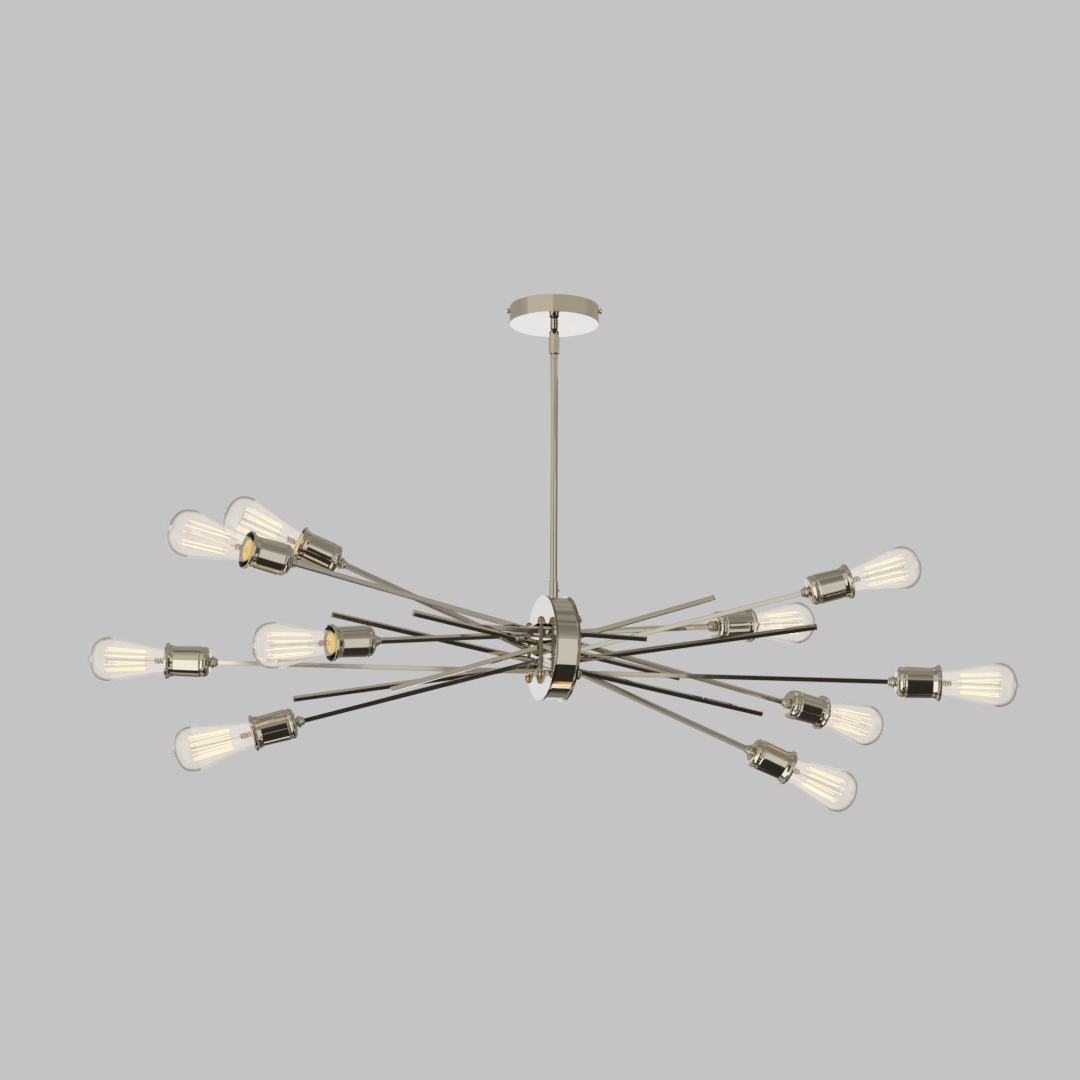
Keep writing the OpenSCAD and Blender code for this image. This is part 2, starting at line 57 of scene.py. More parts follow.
# [sideways, height, turn, rise, roll, half length, slide] of each bar at the hub
ARMS = [
    (5.1, 17.7, 12.8, -9.5, 29.7, 392, 1.8),
    (11.0, -13.5, 0.3, -21.4, -22.2, 311, -1.8),
    (13.0, -31.0, -17.1, -1.4, 8.2, 463, 3.3),
    (13.6, 23.0, 9.9, 6.5, 39.7, 256, -0.2),
    (-11.5, -12.5, -9.6, 15.6, 9.8, 357, 3.1),
]
ACCENTS = [
    (-2.5, -23.9, -10.6, -11.9, 27.9, 305, -6.8),
    (6.0, 3.5, 17.3, -6.5, 47.7, 224, -1.0),
    (-25.2, 18.6, -7.1, -2.4, 19.9, 128, -4.3),
    (26.0, -18.1, -21.1, 7.6, 38.0, 367, 9.2),
    (-12.0, 6.1, -10.6, 17.1, -5.1, 234, -1.1),
]
BAND_R, BAND_T, BAND_HALF = 70.5, 2.0, 14.5
# [bolt's x, front and rear bolt's y, under and over the bars] of each clamp
CLAMPS = [(-26.0, -30, 28.1, -34.9, 28.2), (24.2, -35.4, 26.5, -36.1, 31.6)]
STRAP_T, NUT_R, NUT_H, NUT_SKIRT = 1.6, 5.8, 9.5, 2.6
# A holder's inner wall is painted dark above this height, as painted shade
SHADE_FROM = 21.0
HERE = Matrix.Identity(4)


# ------------------------------------------------------------------ places
def bar_place(bar):
    y, z, turn, rise, roll, _, slide = bar
    return (
        Matrix.Translation((0, y, HUB_Z + z))
        @ Matrix.Rotation(math.radians(turn), 4, "Z")
        @ Matrix.Rotation(math.radians(-rise), 4, "Y")
        @ Matrix.Translation((slide, 0, 0))
        @ Matrix.Rotation(math.radians(roll), 4, "X")
    )


def end_place(bar, side):
    """Z points out of the bar's end."""
    return (
        bar_place(bar)
        @ Matrix.Translation((side * bar[5], 0, 0))
        @ Matrix.Rotation(side * math.pi / 2, 4, "Y")
    )


# ------------------------------------------------------------------ shapes
def finish_mesh(bm, name, place, material, sharp=35):
    bmesh.ops.recalc_face_normals(bm, faces=bm.faces)
    mesh = bpy.data.meshes.new(name)
    bm.transform(Matrix.Scale(MM, 4) @ place)
    bm.to_mesh(mesh)
    bm.free()
    for face in mesh.polygons:
        face.use_smooth = True
    mesh.set_sharp_from_angle(angle=math.radians(sharp))
    mesh.materials.append(material)
    piece = bpy.data.objects.new(name, mesh)
    scene.collection.objects.link(piece)
    weigh = piece.modifiers.new("flat faces stay flat", "WEIGHTED_NORMAL")
    weigh.keep_sharp = True
    return piece


def lathe(bm, profile, steps=96):
    """Turns a closed profile of (radius, height) points about Z."""
    made = [bm.verts.new((r, 0, z)) for r, z in profile]
    edges = [bm.edges.new(pair) for pair in zip(made, made[1:])]
    edges.append(bm.edges.new((made[-1], made[0])))
    bmesh.ops.spin(
        bm,
        geom=made + edges,
        cent=(0, 0, 0),
        axis=(0, 0, 1),
        angle=FULL,
        steps=steps,
        use_merge=True,
    )
    bmesh.ops.remove_doubles(bm, verts=bm.verts[:], dist=1e-4)
    loose = [e for e in bm.edges if not e.link_faces]
    bmesh.ops.delete(bm, geom=loose, context="EDGES")


def turned(name, profile, place, material, steps=96, sharp=35):
    bm = bmesh.new()
    lathe(bm, profile, steps)
    return finish_mesh(bm, name, place, material, sharp)


def soft_corners(points, size=0.3, parts=3):
    """The profile with each of its corners rounded a little."""
    bm = bmesh.new()
    made = [bm.verts.new((x, 0, z)) for x, z in points]
    for i in range(len(made)):
        bm.edges.new((made[i], made[(i + 1) % len(made)]))
    corners = [v for v in made if v.co.x > 1e-6]
    bmesh.ops.bevel(
        bm, geom=corners, affect="VERTICES", offset=size, offset_type="OFFSET",
        segments=parts, profile=0.5, material=-1, clamp_overlap=True,
    )
    bm.verts.ensure_lookup_table()
    start = min(bm.verts, key=lambda v: (v.co.z, v.co.x))
    order, last, here = [start], None, start
    while True:
        nxt = [e.other_vert(here) for e in here.link_edges if e.other_vert(here) is not last]
        last, here = here, nxt[0]
        if here is start:
            break
        order.append(here)
    out = [(v.co.x, v.co.z) for v in order]
    bm.free()
    return out


def rod(bm, start, stop, radius, sides=12):
    """Round rod between two points."""
    start, stop = Vector(start), Vector(stop)
    along = stop - start
    turn = along.to_track_quat("Z", "Y").to_matrix().to_4x4()
    bmesh.ops.create_cone(
        bm, cap_ends=True, segments=sides, radius1=radius, radius2=radius,
        depth=along.length, matrix=Matrix.Translation((start + stop) / 2) @ turn,
    )


def box_block(bm, size, centre, round_by=0.0, parts=2):
    made = bmesh.ops.create_cube(bm, size=1)["verts"]
    bmesh.ops.scale(bm, vec=size, verts=made)
    bmesh.ops.translate(bm, vec=centre, verts=made)
    if round_by:
        edges = list({e for v in made for e in v.link_edges})
        bmesh.ops.bevel(
            bm, geom=edges, affect="EDGES", offset=round_by, segments=parts,
            profile=0.5, material=-1, clamp_overlap=True,
        )


def merged(name, parts, material, sharp=35):
    """One piece out of the same small shape put in several places."""
    bm = bmesh.new()
    for make, place in parts:
        part = bmesh.new()
        make(part)
        part.transform(place)
        held = bpy.data.meshes.new("held")
        part.to_mesh(held)
        part.free()
        bm.from_mesh(held)
        bpy.data.meshes.remove(held)
    return finish_mesh(bm, name, HERE, material, sharp)


# ------------------------------------------------------------------ finishes
def socket_in(group, name, kind, value=None):
    made = group.interface.new_socket(name, in_out="INPUT", socket_type=kind)
    if value is not None:
        made.default_value = value
    return made


def polish_group():
    """Fine hazing and ripple that polished metal keeps: roughness and height."""
    group = bpy.data.node_groups.new("polish", "ShaderNodeTree")
    socket_in(group, "Low", "NodeSocketFloat", 0.05)
    socket_in(group, "High", "NodeSocketFloat", 0.12)
    socket_in(group, "Haze scale", "NodeSocketFloat", 40.0)
    socket_in(group, "Ripple scale", "NodeSocketFloat", 14.0)
    for name in ("Roughness", "Height", "Mask"):
        group.interface.new_socket(name, in_out="OUTPUT", socket_type="NodeSocketFloat")
    n, link = group.nodes, group.links
    src, out = n.new("NodeGroupInput"), n.new("NodeGroupOutput")
    place = n.new("ShaderNodeTexCoord")
    haze = n.new("ShaderNodeTexNoise")
    haze.inputs["Detail"].default_value = 5
    haze.inputs["Roughness"].default_value = 0.6
    link.new(place.outputs["Object"], haze.inputs["Vector"])
    link.new(src.outputs["Haze scale"], haze.inputs["Scale"])
    rough = n.new("ShaderNodeMapRange")
    rough.inputs["From Min"].default_value = 0.3
    rough.inputs["From Max"].default_value = 0.7
    link.new(haze.outputs["Fac"], rough.inputs["Value"])
    link.new(src.outputs["Low"], rough.inputs["To Min"])
    link.new(src.outputs["High"], rough.inputs["To Max"])
    ripple = n.new("ShaderNodeTexNoise")
    ripple.inputs["Detail"].default_value = 1
    link.new(place.outputs["Object"], ripple.inputs["Vector"])
    link.new(src.outputs["Ripple scale"], ripple.inputs["Scale"])
    link.new(rough.outputs["Result"], out.inputs["Roughness"])
    link.new(ripple.outputs["Fac"], out.inputs["Height"])
    link.new(haze.outputs["Fac"], out.inputs["Mask"])
    return group


POLISH = polish_group()


def metal(name, colour, deep, low=0.02, high=0.055, ripple=0.02, haze=40.0, wave=14.0):
    """Metal with a slight change of tone, hazing and surface ripple."""
    mat = bpy.data.materials.new(name)
    mat.use_nodes = True
    n, link = mat.node_tree.nodes, mat.node_tree.links
    shader = n["Principled BSDF"]
    shader.inputs["Metallic"].default_value = 1.0
    grp = n.new("ShaderNodeGroup")
    grp.node_tree = POLISH
    grp.inputs["Low"].default_value = low
    grp.inputs["High"].default_value = high
    grp.inputs["Haze scale"].default_value = haze
    grp.inputs["Ripple scale"].default_value = wave
    tone = n.new("ShaderNodeMix")
    tone.data_type = "RGBA"
    tone.inputs["A"].default_value = (*deep, 1)
    tone.inputs["B"].default_value = (*colour, 1)
    link.new(grp.outputs["Mask"], tone.inputs["Factor"])
    link.new(tone.outputs["Result"], shader.inputs["Base Color"])
    link.new(grp.outputs["Roughness"], shader.inputs["Roughness"])
    bump = n.new("ShaderNodeBump")
    bump.inputs["Strength"].default_value = 1.0
    bump.inputs["Distance"].default_value = ripple * MM
    link.new(grp.outputs["Height"], bump.inputs["Height"])
    link.new(bump.outputs["Normal"], shader.inputs["Normal"])
    return mat


def plain(name, colour, deep, low, high, ripple=0.05, haze=60.0, wave=200.0, coat=0.0):
    mat = metal(name, colour, deep, low, high, ripple, haze, wave)
    shader = mat.node_tree.nodes["Principled BSDF"]
    shader.inputs["Metallic"].default_value = 0.0
    shader.inputs["Coat Weight"].default_value = coat
    return mat


def glowing(name, colour, strength, grain=90, deep=0.8):
    mat = bpy.data.materials.new(name)
    mat.use_nodes = True
    n, link = mat.node_tree.nodes, mat.node_tree.links
    shader = n["Principled BSDF"]
    place = n.new("ShaderNodeTexCoord")
    noise = n.new("ShaderNodeTexNoise")
    noise.inputs["Scale"].default_value = grain
    link.new(place.outputs["Object"], noise.inputs["Vector"])
    tone = n.new("ShaderNodeMix")
    tone.data_type = "RGBA"
    tone.inputs["A"].default_value = (*[c * deep for c in colour], 1)
    tone.inputs["B"].default_value = (*colour, 1)
    link.new(noise.outputs["Fac"], tone.inputs["Factor"])
    link.new(tone.outputs["Result"], shader.inputs["Emission Color"])
    shader.inputs["Emission Strength"].default_value = strength
    shader.inputs["Base Color"].default_value = (*colour, 1)
    shader.inputs["Roughness"].default_value = 0.5
    return mat


def clear_glass(name, colour, haze_weight, low=0.0, high=0.03, painted_glow=0.0, edge=None):
    """Thin blown glass with a faint white bloom, a faint painted glow and slow ripple, with painted
    shade making it darker seen edge on.
    """
    mat = bpy.data.materials.new(name)
    mat.use_nodes = True
    n, link = mat.node_tree.nodes, mat.node_tree.links
    shader = n["Principled BSDF"]
    shader.inputs["Transmission Weight"].default_value = 1.0 - haze_weight
    shader.inputs["IOR"].default_value = 1.45
    # A faint painted glow from the glass itself
    shader.inputs["Emission Color"].default_value = (1.0, 0.95, 0.84, 1)
    shader.inputs["Emission Strength"].default_value = painted_glow
    grp = n.new("ShaderNodeGroup")
    grp.node_tree = POLISH
    grp.inputs["Low"].default_value = low
    grp.inputs["High"].default_value = high
    grp.inputs["Haze scale"].default_value = 25.0
    grp.inputs["Ripple scale"].default_value = 30.0
    tone = n.new("ShaderNodeMix")
    tone.data_type = "RGBA"
    tone.inputs["A"].default_value = (*[c * 0.985 for c in colour], 1)
    tone.inputs["B"].default_value = (*colour, 1)
    link.new(grp.outputs["Mask"], tone.inputs["Factor"])
    # Painted shade: the base colour darkens towards the edge colour where the glass is seen edge on
    facing = n.new("ShaderNodeLayerWeight")
    facing.inputs["Blend"].default_value = 0.5
    edge_on_painted_shade = n.new("ShaderNodeMapRange")
    edge_on_painted_shade.inputs["From Min"].default_value = 0.5
    edge_on_painted_shade.inputs["From Max"].default_value = 0.75
    link.new(facing.outputs["Facing"], edge_on_painted_shade.inputs["Value"])
    shade = n.new("ShaderNodeMix")
    shade.data_type = "RGBA"
    shade.inputs["B"].default_value = (*(edge or [c * 0.8 for c in colour]), 1)
    link.new(edge_on_painted_shade.outputs["Result"], shade.inputs["Factor"])
    link.new(tone.outputs["Result"], shade.inputs["A"])
    link.new(shade.outputs["Result"], shader.inputs["Base Color"])
    link.new(grp.outputs["Roughness"], shader.inputs["Roughness"])
    bump = n.new("ShaderNodeBump")
    bump.inputs["Strength"].default_value = 1.0
    bump.inputs["Distance"].default_value = 0.05 * MM
    link.new(grp.outputs["Height"], bump.inputs["Height"])
    link.new(bump.outputs["Normal"], shader.inputs["Normal"])
    return mat


NICKEL = (0.66, 0.615, 0.52)
NICKEL_DEEP = (0.60, 0.55, 0.455)
nickel = metal("polished_nickel", NICKEL, NICKEL_DEEP)
bar_nickel = metal("polished_bar", NICKEL, NICKEL_DEEP, 0.03, 0.08, 0.03, 30.0, 40.0)
spun_nickel = metal("spun_canopy", NICKEL, NICKEL_DEEP, 0.02, 0.05, 0.07, 30.0, 70.0)
mirror_plate = metal("mirror_plate", (0.74, 0.73, 0.69), (0.70, 0.69, 0.65), 0.1, 0.16, 0.01, 20.0, 8.0)
# Dark metal for the plates' rims: painted reflection of a dark room
rim_painted_reflection = metal("rim_painted_reflection", (0.3, 0.26, 0.2), (0.22, 0.19, 0.14), 0.05, 0.1)
warm_nickel = metal("warm_nickel", (0.52, 0.38, 0.2), (0.38, 0.27, 0.13), 0.03, 0.08)
# Dark brown metal on the clamp bolts: painted dark reflection
bolt_painted_dark_reflection = metal("bolt_painted_dark_reflection", (0.3, 0.26, 0.2), (0.22, 0.19, 0.14), 0.1, 0.2)
zinc = metal("zinc_steel", (0.5, 0.5, 0.5), (0.38, 0.38, 0.37), 0.3, 0.45, 0.1)
dark_steel = metal("dark_steel", (0.1, 0.09, 0.08), (0.05, 0.05, 0.05), 0.3, 0.5)
brass = metal("brass", (0.78, 0.56, 0.2), (0.66, 0.44, 0.14), 0.12, 0.25, 0.05)
porcelain = plain("porcelain", (0.8, 0.77, 0.7), (0.74, 0.7, 0.62), 0.15, 0.3, 0.05, coat=0.5)
# Black insulator finish; the same dark finish is also painted shade on the holders' inner walls
dark_insulator = plain("dark_insulator", (0.035, 0.03, 0.027), (0.02, 0.018, 0.016), 0.3, 0.45, 0.05)
cap_plastic = plain("connector_cap", (0.8, 0.28, 0.04), (0.7, 0.22, 0.03), 0.35, 0.5)
lead_skin = plain("lead_skin", (0.03, 0.03, 0.03), (0.02, 0.02, 0.02), 0.4, 0.6)
# The bulbs' glass carries a faint painted glow
bulb_clear = clear_glass("bulb_glass", (0.99, 0.985, 0.97), 0.03, painted_glow=0.06)
bulb_end = clear_glass("bulb_end_glass", (0.99, 0.985, 0.97), 0.03, painted_glow=0.045, edge=(0.2, 0.18, 0.08))
stem_glass = clear_glass("stem_glass", (0.9, 0.88, 0.8), 0.15, 0.02, 0.08)
filament = glowing("filament", (1.0, 0.6, 0.19), 2.3)
support_wire = metal("support_wire", (0.8, 0.6, 0.35), (0.6, 0.4, 0.2), 0.2, 0.35)
# The base cement glows orange: a painted glow of the filaments' light
cement_painted_glow = glowing("cement_painted_glow", (0.9, 0.58, 0.1), 0.75, 330, 0.3)
copper_coil = metal("copper_coil", (0.5, 0.15, 0.03), (0.34, 0.09, 0.02), 0.25, 0.4)

for name, mat in {
    "ceiling_bar": zinc, "ground_screw": zinc, "canopy_washer": zinc, "neck_nut": zinc,
    "hub_nipple": zinc, "collar_screw": nickel, "pivot_screws": nickel,
    "canopy_screws": nickel, "swivel_neck": nickel, "swivel_sleeve": nickel,
    "stem_coupler": nickel, "stem_collar": nickel, "hub_face_left": mirror_plate,
    "hub_face_right": mirror_plate, "clamp_straps": nickel, "clamp_bolts": bolt_painted_dark_reflection,
    "wire_nuts": cap_plastic, "lead_splice": porcelain, "lamp_lead": lead_skin,
    "arm_leads": lead_skin, "end_plugs": bar_nickel, "plug_screws": dark_steel,
    "holder_insulators": dark_insulator, "screw_shells": brass, "centre_contacts": brass,
    "canopy": spun_nickel, "stem": nickel, "hub_band": nickel, "acorn_nuts": warm_nickel,
    "arm_ferrules": nickel,
}.items():
    nodes[name].data.materials.clear()
    nodes[name].data.materials.append(mat)
# The plates' rims take the dark metal as painted reflection
for name in ("hub_face_left", "hub_face_right"):
    plate = nodes[name].data
    plate.materials.append(rim_painted_reflection)
    for face in plate.polygons:
        face.material_index = 1 if abs(face.normal.x) < 0.7 else 0


# ------------------------------------------------------------------ ceiling end
canopy_inside, canopy_floor = CANOPY_R - CANOPY_T, CANOPY_T - CANOPY_DEPTH
canopy_cup = turned(
    "canopy_cup",
    soft_corners(
        [(NECK_HOLE, -CANOPY_DEPTH), (CANOPY_R, -CANOPY_DEPTH), (CANOPY_R, 0),
         (canopy_inside, 0), (canopy_inside, canopy_floor), (NECK_HOLE, canopy_floor)], 0.5),
    HERE, spun_nickel, 192,
)
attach(canopy_cup, "ceiling_mount")
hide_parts("canopy")

stem_tube = turned(
    "stem_tube",
    [(STEM_BORE, STEM_END), (STEM_R, STEM_END), (STEM_R, STEM_TOP), (STEM_BORE, STEM_TOP)],
    HERE, nickel, 64,
)
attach(stem_tube, "fixture")
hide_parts("stem")

# The main lead is cut across at many heights where the sleeve hinges on the neck
BEND_TOP, BEND_LOW, BEND_CUTS = -0.031, -0.046, 12
bm = bmesh.new()
bm.from_mesh(nodes["lamp_lead"].data)
bmesh.ops.remove_doubles(bm, verts=bm.verts[:], dist=1e-6)
for k in range(BEND_CUTS + 1):
    height = BEND_TOP + (BEND_LOW - BEND_TOP) * k / BEND_CUTS
    bmesh.ops.bisect_plane(
        bm, geom=bm.verts[:] + bm.edges[:] + bm.faces[:], dist=1e-7,
        plane_co=(0, 0, height), plane_no=(0, 0, 1),
    )
main_lead = finish_mesh(bm, "main_lead", Matrix.Scale(1 / MM, 4), lead_skin, 40)
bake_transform(main_lead)
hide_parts("lamp_lead")

# ------------------------------------------------------------------ drum
to_hub = Matrix.Translation((0, 0, HUB_Z)) @ Matrix.Rotation(math.pi / 2, 4, "Y")
drum_band = turned(
    "drum_band",
    soft_corners(
        [(BAND_R - BAND_T, -BAND_HALF), (BAND_R, -BAND_HALF), (BAND_R, BAND_HALF),
         (BAND_R - BAND_T, BAND_HALF)], 0.2),
    to_hub, nickel, 256,
)
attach(drum_band, "fixture")
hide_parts("hub_band")


def acorn_profile(steps=12):
    """A low skirt with soft edges under a dome."""
    dome = NUT_R - 0.5
    out = [(0, 0), (NUT_R - 0.6, 0), (NUT_R, 0.6), (NUT_R, NUT_SKIRT - 0.2), (dome, NUT_SKIRT)]
    for i in range(1, steps + 1):
        a = i * math.pi / 2 / steps
        out.append((dome * math.cos(a), NUT_SKIRT + (NUT_H - NUT_SKIRT) * math.sin(a)))
    return out


def nut_places():
    """Z points away from the strap at both ends of each clamp's bolts."""
    for bolt_x, front, rear, low, high in CLAMPS:
        for y in (front, rear):
            for z, flip in ((high + STRAP_T, 0), (low - STRAP_T, math.pi)):
                yield Matrix.Translation((bolt_x, y, HUB_Z + z)) @ Matrix.Rotation(flip, 4, "X")


domed_nuts = merged(
    "domed_nuts",
    [(lambda b: lathe(b, acorn_profile(), 48), place) for place in nut_places()],
    warm_nickel, 40,
)
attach(domed_nuts, "fixture")
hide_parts("acorn_nuts")

# ------------------------------------------------------------------ bars
for i, bar in enumerate(ARMS):
    bm = bmesh.new()
    box_block(bm, (2 * (bar[5] + BAR_TAIL), BAR, BAR), (0, 0, 0), BAR_ROUND, 3)
    piece = finish_mesh(bm, f"long_bar_{i + 1}", bar_place(bar), bar_nickel, 50)
    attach(piece, "fixture")
    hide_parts(f"arm_{i + 1}")
for i, bar in enumerate(ACCENTS):
    bm = bmesh.new()
    box_block(bm, (2 * (bar[5] - PLUG_CAP), BAR, BAR), (0, 0, 0), BAR_ROUND, 3)
    piece = finish_mesh(bm, f"short_bar_{i + 1}", bar_place(bar), bar_nickel, 50)
    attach(piece, "fixture")
    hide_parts(f"accent_{i + 1}")

# ------------------------------------------------------------------ lamp holders
FERRULE = [(3.3, 0), (5, 0), (5.3, 0.8), (5.3, 2), (6.2, 2.6), (6.5, 3.8), (6.2, 5),
           (7.8, 5.4), (8.3, 6.8), (8.3, 7.8), (7.6, 9), (6.2, 9.4), (6.2, 11.2),
           (5, 11.2), (5, 16), (3.3, 16)]
SHELL = [(5, 11), (14.5, 11.5), (18.3, 12.9), (20.2, 15), (21.2, 17), (21.5, 19),
         (20.7, 20.8), (20.7, 22.6), (21.8, 24), (21.7, 26), (21.0, 60), (22.1, 63),
         (22.8, 66), (24.3, 67.4), (25.3, 68.2), (25.3, 70.9), (24.7, 71.5), (22.9, 71.5),
         (21.1, 67.5), (20, 60), (20, 26), (19.6, 20), (18, 15), (13, 12.4), (5, 12.2)]


def holder_places():
    """Number and place of each holder: odd ones on the left, even ones on the right."""
    for i, bar in enumerate(ARMS):
        for side in (-1, 1):
            yield 2 * i + (1 if side < 0 else 2), end_place(bar, side)


ferrules = merged(
    "bar_ferrules",
    [(lambda b: lathe(b, soft_corners(FERRULE, 0.25), 64), place) for _, place in holder_places()],
    nickel,
)
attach(ferrules, "fixture")
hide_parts("arm_ferrules")

shell_profile = soft_corners(SHELL, 0.4)
for number, place in holder_places():
    shell = turned(f"holder_shell_{number}", shell_profile, place, nickel, 96, 40)
    shell.data.materials.append(dark_insulator)
    back = (Matrix.Scale(MM, 4) @ place).inverted()
    # Inward faces above SHADE_FROM take the dark finish as painted shade
    for face in shell.data.polygons:
        spot = back @ face.center
        inward = (back.to_3x3() @ face.normal).xy.dot(spot.xy) < 0
        face.material_index = 1 if inward and spot.z > SHADE_FROM else 0
    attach(shell, "fixture")
    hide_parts(f"socket_{number}")

# ------------------------------------------------------------------ bulbs
GLASS = [(12.6, 66), (13.6, 68.5), (15.9, 70.4), (16.9, 72.5), (17.2, 77.8), (18.6, 87.4),
         (21, 100), (24.2, 115.4), (27.3, 129.9), (29.5, 140.5), (30.4, 146.8), (30.7, 152.1),
         (30.3, 156.9), (28.9, 162.2), (26, 167.5), (21.8, 171.8), (16, 175), (10.5, 176.5),
         (6, 177.1), (4.6, 178.1), (3.6, 179.7), (2, 180.7), (0, 181)]
GLASS_R, GLASS_WALL = 30.7, 0.9
# The glass is shaded as the round end above the first height, with a brown painted edge shade there,
# and its wall lies under the outline above the second
ROUND_END, CROWN = 149.0, 156.0
CEMENT = [(0, 65.95), (12.0, 65.95), (14, 70.5), (14, 70.9), (0, 71.3)]
FOOT_TOP = 88
FOOT = [(0, 71), (4.4, 71), (3.0, 76), (2.6, FOOT_TOP), (0, FOOT_TOP + 0.6)]
CAGE_LOW, CAGE_TOP, HOOKS = 100.0, 155.0, 5
CAGE_LOW_R, CAGE_TOP_R = 13.5, 16.5
# How far apart a hairpin's two strands stand at each end, as a part of the hooks' spacing
LOW_SPREAD, TOP_SPREAD = 0.27, 0.2
STRAND_R, POST_R, HOOK_WIRE_R = 0.24, 0.5, 0.16
COIL_LOW, COIL_TURNS, COIL_R, COIL_PITCH, COIL_WIRE_R = 76.0, 3, 3.7, 3.8, 0.65
BASE = [(0, 44), (4, 44), (5, 45.2), (9, 46.4), (13.1, 49), (13.1, 65.9), (0, 65.9)]


def smooth_curve(points, parts):
    """More points along the same soft profile."""
    out = []
    for i in range(len(points) - 1):
        p0 = points[max(i - 1, 0)]
        p1, p2 = points[i], points[i + 1]
        p3 = points[min(i + 2, len(points) - 1)]
        for k in range(parts):
            t = k / parts
            out.append(tuple(
                0.5 * (2 * b + (c - a) * t + (2 * a - 5 * b + 4 * c - d) * t * t
                       + (3 * b - a - 3 * c + d) * t ** 3)
                for a, b, c, d in zip(p0, p1, p2, p3)))
    out.append(points[-1])
    return [(max(r, 0.0), z) for r, z in out]


outer = smooth_curve(GLASS, 3)
inner = [(r * (GLASS_R - GLASS_WALL) / GLASS_R, z - GLASS_WALL if z > CROWN else z)
         for r, z in reversed(outer)]


def coil_rod(bm):
    """Copper wire wound round the glass foot."""
    steps = 16
    last = None
    for k in range(COIL_TURNS * steps + 1):
        a = FULL * k / steps
        here = (COIL_R * math.cos(a), COIL_R * math.sin(a), COIL_LOW + COIL_PITCH * k / steps)
        if last:
            rod(bm, last, here, COIL_WIRE_R, 8)
        last = here


def hook_point(k, z, spread=0.0):
    """A point on the ring of hooks at one end of the cage."""
    r = CAGE_TOP_R if z > CAGE_LOW else CAGE_LOW_R
    a = (k + 0.2 + spread) * FULL / HOOKS
    return (r * math.cos(a), r * math.sin(a), z)


for number, place in holder_places():
    body = f"lamp_{number}"
    glass = turned(f"bulb_glass_{number}", outer + inner, place, bulb_clear, 96, 60)
    glass.data.materials.append(bulb_end)
    back = (Matrix.Scale(MM, 4) @ place).inverted()
    for face in glass.data.polygons:
        face.material_index = 1 if (back @ face.center).z > ROUND_END else 0
    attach(glass, body)
    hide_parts(f"bulb_{number}")

    base = turned(f"bulb_base_{number}", BASE, place, brass, 64)
    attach(base, body)

    cement = turned(f"base_cement_{number}", CEMENT, place, cement_painted_glow, 48)
    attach(cement, body)

    bm = bmesh.new()
    lathe(bm, FOOT, 32)
    foot = finish_mesh(bm, f"glass_foot_{number}", place, stem_glass, 50)
    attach(foot, body)

    bm = bmesh.new()
    for k in range(HOOKS):
        for way in (-1, 1):
            low_end = hook_point(k, CAGE_LOW, way * LOW_SPREAD)
            top_end = hook_point(k, CAGE_TOP, way * TOP_SPREAD)
            rod(bm, low_end, top_end, STRAND_R, 8)
    strands = finish_mesh(bm, f"filament_{number}", place, filament, 60)
    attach(strands, body)

    bm = bmesh.new()
    coil_rod(bm)
    coil = finish_mesh(bm, f"copper_coil_{number}", place, copper_coil, 60)
    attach(coil, body)

    bm = bmesh.new()
    rod(bm, (0, 0, FOOT_TOP), (0, 0, CAGE_TOP), POST_R, 12)
    for k in range(HOOKS):
        for z in (CAGE_LOW, CAGE_TOP):
            rod(bm, (0, 0, z), hook_point(k, z), HOOK_WIRE_R, 6)
    wires = finish_mesh(bm, f"support_wires_{number}", place, support_wire, 60)
    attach(wires, body)

# ------------------------------------------------------------------ studio
# Degrees of view, then turn, pitch and roll; the place in metres
VIEW_ANGLE, VIEW_TURN, VIEW_PITCH, VIEW_ROLL = 27.38, -16.8, 101.3, 0.3
VIEW_FROM = (-0.8932, -2.8943, -0.9427)
camera_data = bpy.data.cameras.new("camera")
camera_data.angle = math.radians(VIEW_ANGLE)
camera_data.clip_end = 60
camera = bpy.data.objects.new("camera", camera_data)
camera.matrix_world = (
    Matrix.Translation(VIEW_FROM)
    @ Matrix.Rotation(math.radians(VIEW_TURN), 4, "Z")
    @ Matrix.Rotation(math.radians(VIEW_PITCH), 4, "X")
    @ Matrix.Rotation(math.radians(VIEW_ROLL), 4, "Z")
)
scene.collection.objects.link(camera)
scene.camera = camera
scene.view_settings.view_transform = "Standard"

world = bpy.data.worlds.new("studio")
scene.world = world
world.use_nodes = True
wn, wl = world.node_tree.nodes, world.node_tree.links
wn.clear()
w_out = wn.new("ShaderNodeOutputWorld")
w_see = wn.new("ShaderNodeBackground")
w_see.inputs["Color"].default_value = (0.56, 0.55, 0.555, 1)
w_light = wn.new("ShaderNodeBackground")
w_place = wn.new("ShaderNodeTexCoord")
w_split = wn.new("ShaderNodeSeparateXYZ")
wl.new(w_place.outputs["Generated"], w_split.inputs["Vector"])


def world_range(value, low, high, to_low=0.0, to_high=1.0):
    """The value's place between low and high, carried over to another range."""
    made = wn.new("ShaderNodeMapRange")
    for name, number in (
        ("From Min", low), ("From Max", high), ("To Min", to_low), ("To Max", to_high),
    ):
        made.inputs[name].default_value = number
    wl.new(value, made.inputs["Value"])
    return made.outputs["Result"]


def world_math(operation, first, second=None):
    """A sum on the first value, with another value as its second term if there is one."""
    made = wn.new("ShaderNodeMath")
    made.operation = operation
    wl.new(first, made.inputs[0])
    if second is not None:
        wl.new(second, made.inputs[1])
    return made.outputs["Value"]


def height_ramp(stops):
    """Brightness of the room from straight down (-1) to straight up (1)."""
    made = wn.new("ShaderNodeValToRGB")
    while len(made.color_ramp.elements) < len(stops):
        made.color_ramp.elements.new(0.5)
    for element, (height, colour) in zip(made.color_ramp.elements, stops):
        element.position = (height + 1) / 2
        element.color = (*colour, 1)
    wl.new(w_half, made.inputs["Fac"])
    return made


